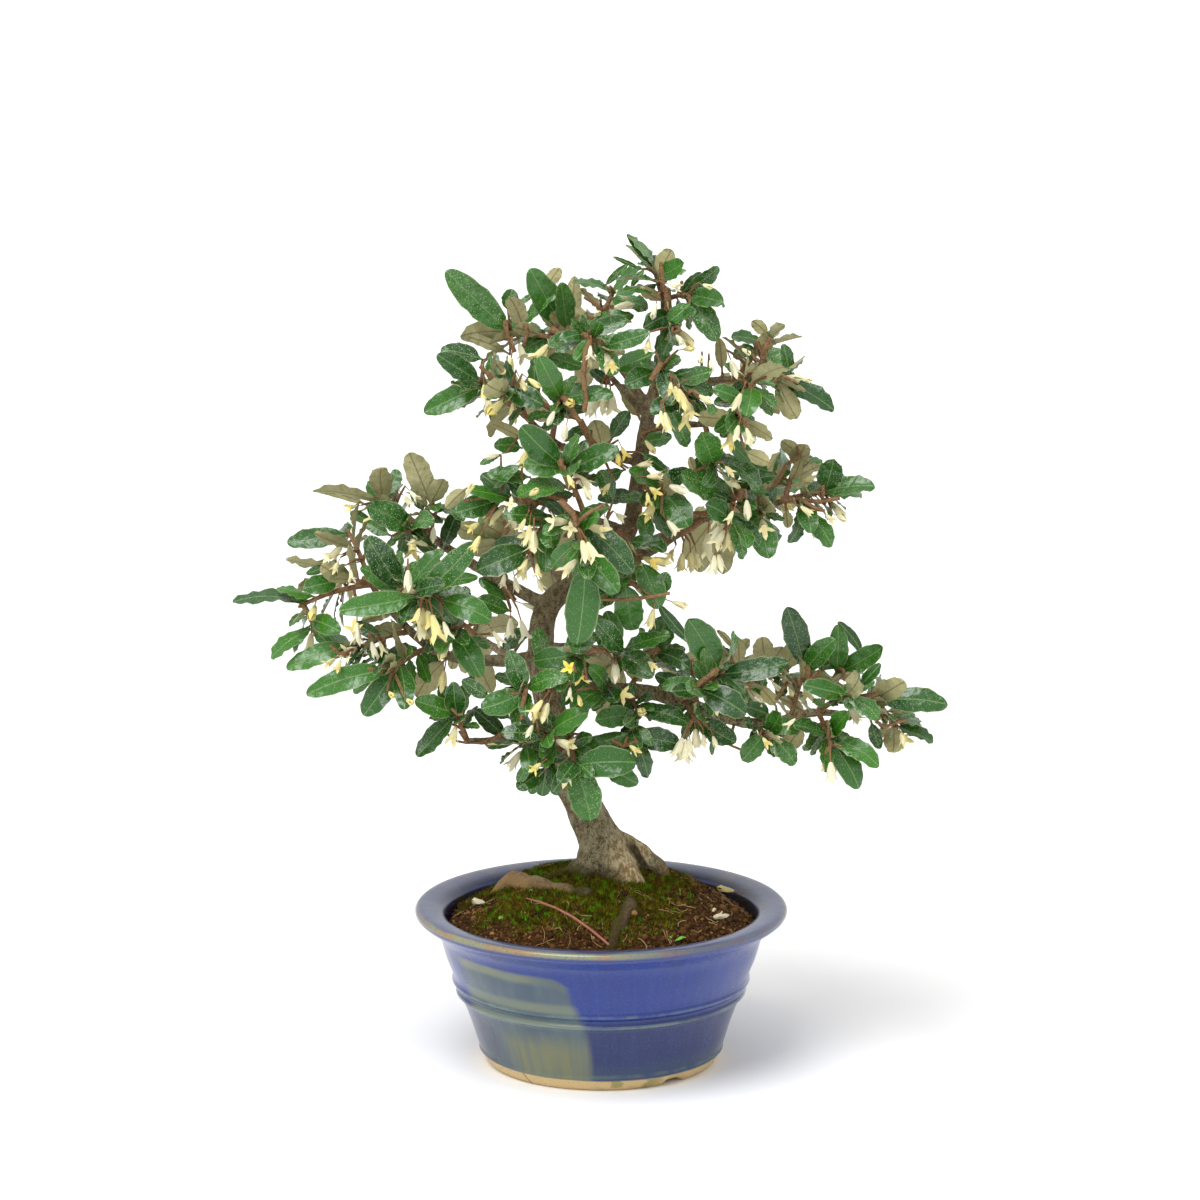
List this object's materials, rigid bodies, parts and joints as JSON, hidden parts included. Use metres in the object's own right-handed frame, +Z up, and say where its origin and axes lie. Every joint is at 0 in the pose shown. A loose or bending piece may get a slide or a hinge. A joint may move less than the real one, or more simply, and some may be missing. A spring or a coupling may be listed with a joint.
{
  "type": "thorny olive bonsai in a pot",
  "caption": "Small trained evergreen tree with a curved trunk, glossy wavy leaves and cream bell flowers, standing in a round blue glazed pot of mossy soil.",
  "frame": {"origin": "middle of the whole outline seen from above, on the surface the pot stands on", "axes": "+Z up, -Y to the front, +X to the right seen from the front"},
  "size_m": [0.3484, 0.2114, 0.4125],
  "materials": {
    "blue_glaze": "glossy cobalt blue glaze with an olive run on the front left, bare clay foot",
    "earth": "crumbly dark potting soil with moss",
    "bark": "matt grey-brown ridged bark",
    "foliage": "leathery dark green leaves with silvery specks, cream flowers on red-brown twigs",
    "mesh_plastic": "matt black plastic mesh"
  },
  "bodies": {
    "root": {"pot": "blue_glaze", "drain_mesh": "mesh_plastic", "soil": "earth", "tree_wood": "bark", "crown_shoot_1": "foliage", "crown_shoot_2": "foliage", "crown_shoot_3": "foliage", "crown_shoot_4": "foliage", "crown_shoot_5": "foliage", "crown_shoot_6": "foliage", "crown_shoot_7": "foliage", "crown_shoot_8": "foliage", "crown_shoot_9": "foliage", "crown_shoot_10": "foliage", "crown_shoot_11": "foliage", "east_high_shoot_1": "foliage", "east_high_shoot_2": "foliage", "east_high_shoot_3": "foliage", "east_high_shoot_4": "foliage", "east_high_shoot_5": "foliage", "east_high_shoot_6": "foliage", "centre_shoot_1": "foliage", "centre_shoot_2": "foliage", "centre_shoot_3": "foliage", "centre_shoot_4": "foliage", "centre_shoot_5": "foliage", "west_shoot_1": "foliage", "west_shoot_2": "foliage", "west_shoot_3": "foliage", "west_shoot_4": "foliage", "west_shoot_5": "foliage", "west_shoot_6": "foliage", "west_shoot_7": "foliage", "west_shoot_8": "foliage", "low_shoot_1": "foliage", "low_shoot_2": "foliage", "low_shoot_3": "foliage", "low_shoot_4": "foliage", "low_shoot_5": "foliage", "low_shoot_6": "foliage", "low_shoot_7": "foliage", "east_shoot_1": "foliage", "east_shoot_2": "foliage", "east_shoot_3": "foliage", "east_shoot_4": "foliage", "east_shoot_5": "foliage", "east_shoot_6": "foliage", "east_shoot_7": "foliage", "back_shoot_1": "foliage", "back_shoot_2": "foliage", "back_shoot_3": "foliage", "back_shoot_4": "foliage", "back_shoot_5": "foliage", "back_shoot_6": "foliage", "back_shoot_7": "foliage", "back_shoot_8": "foliage", "back_shoot_9": "foliage", "back_shoot_10": "foliage", "back_shoot_11": "foliage", "back_shoot_12": "foliage"}
  },
  "joints": []
}
